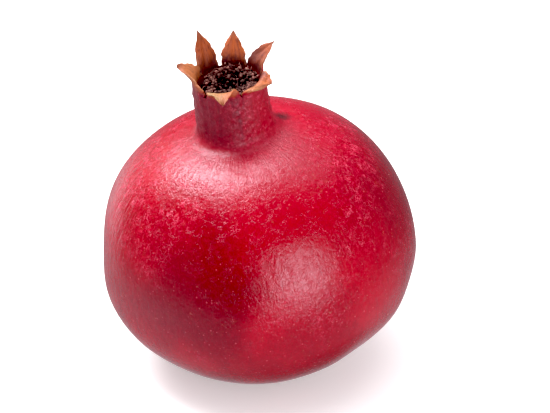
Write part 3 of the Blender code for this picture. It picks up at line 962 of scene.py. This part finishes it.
def stalkGrid():
    # up the middle of the cut face, out to its rough edge, up the bark and in again at the top
    floor = fruit["hollowDepth"] - fruit["baseDepth"] - stalk["gap"]
    t = np.linspace(0, 1, 14)
    cut = np.stack([stalk["radius"] * stalk["cutShare"] * t,
                    floor - stalk["length"] + stalk["dome"] * (1 - t ** 4)], 1)
    barkRadius = stalk["radius"] * (stalk["cutShare"] + stalk["barkShare"] * np.sin(t * math.pi / 2))
    bark = np.stack([barkRadius, floor - stalk["length"] * (1 - t)], 1)
    top = np.stack([stalk["radius"] * (1 - t), floor + 0 * t], 1)
    line = np.concatenate([cut, bark[1:], top[1:]])
    azimuth = np.linspace(0, turn, stalk["columns"], endpoint=False)
    points = turned(line[:, :1], line[:, 1:], azimuth)
    rough = stalk["roughness"] * ripple(azimuth, line[:, 1:] / 1.5, seed=3, count=8, fastest=17)
    points[..., :2] *= (1 + rough * smooth(line[:, :1] / 1.2))[..., None]
    return points


def stalkFinish():
    f = Finish(bpy.data.materials.new("stalkWood"))
    place = f.attribute("ownPlace")
    x, y, _ = f.parts(place)
    radius = (x * x + y * y) ** 0.5
    fibres = f.noise(f.scaled(place, (1, 1, 0.3)), 2.6, 4, 0.65)
    rings = f.math("SINE", radius * 9 + fibres * 5)
    colour = f.mix(stalk["core"], stalk["bark"], f.between(radius, 1.5, 2.2))
    colour = f.mix(colour, stalk["bark"], f.between(rings, 0.0, 1.0) * 0.5)
    roughness = 0.75 + (fibres - 0.5) * 0.2
    return f.done(colour, roughness, fibres * 0.25 + rings * 0.03, {"Specular IOR Level": 0.3})


stub = stalkGrid()
stubGrids = [(setDown(stub), True, {"ownPlace": stub})]
makePiece("stalkStub", stubGrids, stalkFinish(), ["stalk_stub"])


# floor, light and camera

studio = {
    "floorSize": 6.0,
    "floorColour": (0.62, 0.62, 0.62),
    "paperColour": (0.88, 0.88, 0.88),
    "paperSpeck": (0.92, 0.92, 0.92),
    "paperGlow": 0.34,
    "worldColour": (1, 0.95, 1, 1),
    "surround": 0.68,
    "blackLevel": (0.022, 0.022, 0.017),
    "centre": (0.005, 0.005, 0.040),
    # azimuth from the viewer's side round to the right, elevation, distance, width, height and
    # brightness of each; the skin mirrors the softboxes and doesn't mirror the fills
    "softboxes": {
        "keyBox": (-119, 55, 0.8, 0.26, 0.28, 13.0),
        "keyLower": (-118, 45, 0.8, 0.36, 0.32, 4.4),
        "keySide": (-104, 53, 0.8, 0.25, 0.25, 2.5),
        "keyUpper": (-88, 74, 0.8, 0.30, 0.30, 9.0),
        "topBox": (-150, 75, 0.8, 0.30, 0.30, 6.5),
        "backBox": (150, 68, 0.8, 0.70, 0.45, 1.6),
        "frontBox": (26.5, 7, 0.5, 0.21, 0.33, 4.4),
        "frontLow": (25, -8, 0.5, 0.20, 0.16, 3.0),
        "frontSide": (44, 0, 0.5, 0.14, 0.20, 1.7),
        "leftBox": (-140, 22, 0.8, 0.30, 0.36, 0.8),
    },
    "fills": {
        "overheadFill": (0, 85, 1.0, 0.8, 0.8, 1.7),
        "rightFill": (60, 20, 1.0, 0.8, 0.8, 0.35),
    },
    # what the gloss mirrors of the world
    "mirroredTable": 0.54,
    "tableShadow": 0.65,  # how much darker the table is under the fruit
    "mirroredBack": 0.13,
    "mirroredLow": 0.18,
    "mirroredLeft": 0.21,
    "mirroredRight": 0.21,
    "mirroredGlow": 1.25,  # a bright patch of table behind the fruit on the left
    "glowDirection": (-0.53, 0.83, -0.18),
}

view = {"lens": 150, "distance": 0.696, "elevation": 27, "aim": (0.0088, 0.0072, 0.0480)}


def makeFloor():
    # a pale paper floor, seen a little brighter than the light it throws back on the fruit
    f = Finish(bpy.data.materials.new("paperFloor"))
    place = f.node("ShaderNodeTexCoord", None, None, "Object")
    speck = f.noise(place, 900, 2, 0.5)
    dull = f.node("ShaderNodeBsdfDiffuse", None, {"Color": (*studio["floorColour"], 1)})
    colour = f.mix(studio["paperColour"], studio["paperSpeck"], speck)
    paper = f.node("ShaderNodeBsdfPrincipled", None, {
        "Base Color": colour, "Roughness": 0.9, "Specular IOR Level": 0.0,
        "Emission Color": (1, 1, 1, 1), "Emission Strength": studio["paperGlow"]})
    seen = f.node("ShaderNodeLightPath", None, None, "Is Camera Ray")
    shader = f.node("ShaderNodeMixShader", None, {0: seen, 1: dull, 2: paper})
    f.node("ShaderNodeOutputMaterial", None, {"Surface": shader})
    mesh = bpy.data.meshes.new("paperFloor")
    half = studio["floorSize"] / 2
    corners = [(-half, -half, 0), (half, -half, 0), (half, half, 0), (-half, half, 0)]
    mesh.from_pydata(corners, [], [(0, 1, 2, 3)])
    mesh.materials.append(f.owner)
    floor = bpy.data.objects.new("paperFloor", mesh)
    bpy.context.collection.objects.link(floor)
    floor.visible_glossy = False  # the world's own table is what the skin mirrors


def makeWorld():
    # even light for dull surfaces; the gloss sees a dark front, a white table and a bright back. Each
    # part of the room is a range of x, y and z, the direction looked in
    world = bpy.data.worlds.new("studio")
    f = Finish(world)
    x, y, z = f.parts(f.node("ShaderNodeTexCoord", None, None, "Generated"))
    table = f.between(z, -0.30, -0.55) * f.between(y, 0.70, 0.90, 1.0, 0.55)
    table = table + f.between(x, -0.3, -0.8) * f.between(z, -0.05, -0.4) * 0.3
    shadow = f.between(z, -0.65, -0.88) * f.between(y, -0.20, 0.20) * f.between(x, -0.45, 0.20)
    table = table * (1 - shadow * studio["tableShadow"])
    back = f.between(y, 0.45, 0.85) * studio["mirroredBack"]
    left = f.between(x, -0.6, -0.85) * studio["mirroredLeft"]
    right = f.between(x, 0.5, 0.85) * studio["mirroredRight"]
    mirrored = table * studio["mirroredTable"] + f.between(z, 0.75, 0.45) * (back + left + right)
    low = f.between(y, 0.60, 0.95) * f.between(z, 0.1, -0.1)
    mirrored = mirrored + low * studio["mirroredLow"]
    towardsX, towardsY, towardsZ = studio["glowDirection"]
    glow = f.between(x * towardsX + y * towardsY + z * towardsZ, 0.962, 0.996)
    mirrored = mirrored + glow * studio["mirroredGlow"]
    ray = f.node("ShaderNodeLightPath").socket.node
    seen, glossy = Wire(f, ray.outputs["Is Camera Ray"]), Wire(f, ray.outputs["Is Glossy Ray"])
    strength = seen + (1 - seen) * (glossy * mirrored + (1 - glossy) * studio["surround"])
    shader = f.node("ShaderNodeBackground", None, {"Color": studio["worldColour"], "Strength": strength})
    f.node("ShaderNodeOutputWorld", None, {"Surface": shader})
    world.cycles.sampling_method = "NONE"
    bpy.context.scene.world = world


def makeLights():
    # each one faces the fruit; its power is its brightness times pi times its area
    for name, plan in {**studio["softboxes"], **studio["fills"]}.items():
        azimuth, elevation, distance, width, height, brightness = plan
        box = bpy.data.lights.new(name, "AREA")
        box.shape = "RECTANGLE"
        box.size, box.size_y = width, height
        box.energy = brightness * math.pi * width * height
        lamp = bpy.data.objects.new(name, box)
        bpy.context.collection.objects.link(lamp)
        azimuth, elevation = math.radians(azimuth), math.radians(elevation)
        towards = Vector((math.sin(azimuth) * math.cos(elevation), -math.cos(azimuth) * math.cos(elevation),
                          math.sin(elevation)))
        lamp.location = Vector(studio["centre"]) + towards * distance
        lamp.rotation_euler = towards.to_track_quat("Z", "Y").to_euler()
        lamp.visible_glossy = name in studio["softboxes"]


def makeCamera():
    # it stands back from its aim by the distance, on the fruit's front side, raised by the elevation
    lens = bpy.data.cameras.new("camera")
    lens.lens = view["lens"]
    lens.clip_start = 0.01
    camera = bpy.data.objects.new("camera", lens)
    bpy.context.collection.objects.link(camera)
    elevation = math.radians(view["elevation"])
    back = Vector((0, -math.cos(elevation), math.sin(elevation)))
    camera.location = Vector(view["aim"]) + back * view["distance"]
    camera.rotation_euler = back.to_track_quat("Z", "Y").to_euler()
    bpy.context.scene.camera = camera


makeFloor()
makeWorld()
makeLights()
makeCamera()
look = bpy.context.scene.view_settings
look.view_transform = "Standard"  # keeps the reds saturated
look.use_curve_mapping = True
look.curve_mapping.black_level = studio["blackLevel"]  # deepens the darks a little
look.curve_mapping.update()
print("floor, softboxes and camera placed")
